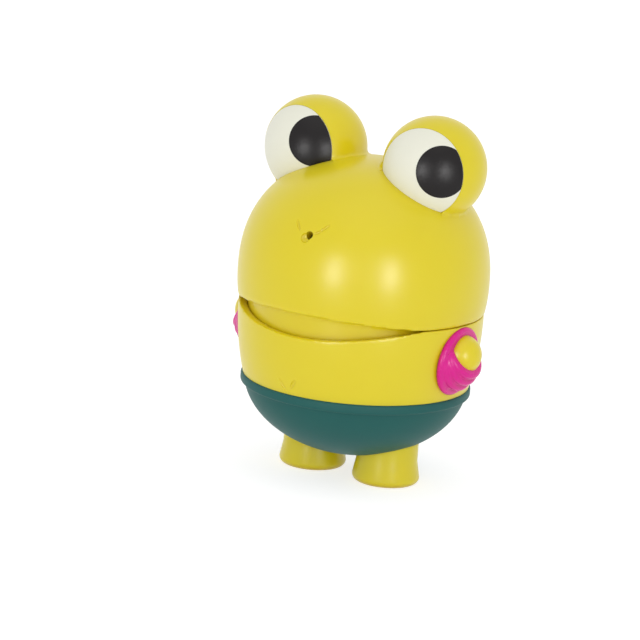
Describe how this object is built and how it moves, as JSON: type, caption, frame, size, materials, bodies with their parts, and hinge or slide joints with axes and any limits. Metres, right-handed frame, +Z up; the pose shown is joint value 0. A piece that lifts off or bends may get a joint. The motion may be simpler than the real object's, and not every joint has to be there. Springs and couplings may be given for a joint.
{
  "type": "squeaky bath toy",
  "caption": "soft vinyl frog bath squirter with a lift-off head, puffed arm bands, rounded shorts and a squeaker in its base",
  "frame": {"origin": "on the body's axis, at the level of the soles, which is the middle of the bounding box's bottom", "axes": "+Z up, the longest side; the frog looks along -Y; its own left hand is on +X"},
  "size_m": [0.0642, 0.0564, 0.084],
  "materials": {
    "yellow_vinyl": "satin",
    "teal_vinyl": "satin",
    "magenta_vinyl": "satin",
    "ivory_vinyl": "satin",
    "black_paint": "gloss",
    "squeaker_plastic": "matte",
    "reed_film": "gloss"
  },
  "bodies": {
    "torso": {"torso_shell": "yellow_vinyl", "shorts_shell": "teal_vinyl", "right_arm": "yellow_vinyl", "left_arm": "yellow_vinyl", "right_arm_band": "magenta_vinyl", "left_arm_band": "magenta_vinyl", "right_foot": "yellow_vinyl", "left_foot": "yellow_vinyl", "squeaker_case": "squeaker_plastic", "squeaker_reed_plate": "squeaker_plastic", "squeaker_cap": "squeaker_plastic"},
    "head": {"head_shell": "yellow_vinyl", "right_eye_white": "ivory_vinyl", "left_eye_white": "ivory_vinyl", "right_pupil": "black_paint", "left_pupil": "black_paint"},
    "reed": {"squeaker_reed": "reed_film"}
  },
  "joints": [
    {"name": "head_lift", "type": "slide", "parent": "torso", "child": "head", "axis": [0, 0, 1], "range_m": [0, 0.035]},
    {"name": "reed_flex", "type": "hinge", "parent": "torso", "child": "reed", "pos_m": [-0.0035, 0, 0.01013], "axis": [0, -1, 0], "range_deg": [0, 6], "stiffness_Nm_per_rad": 0.0002}
  ]
}
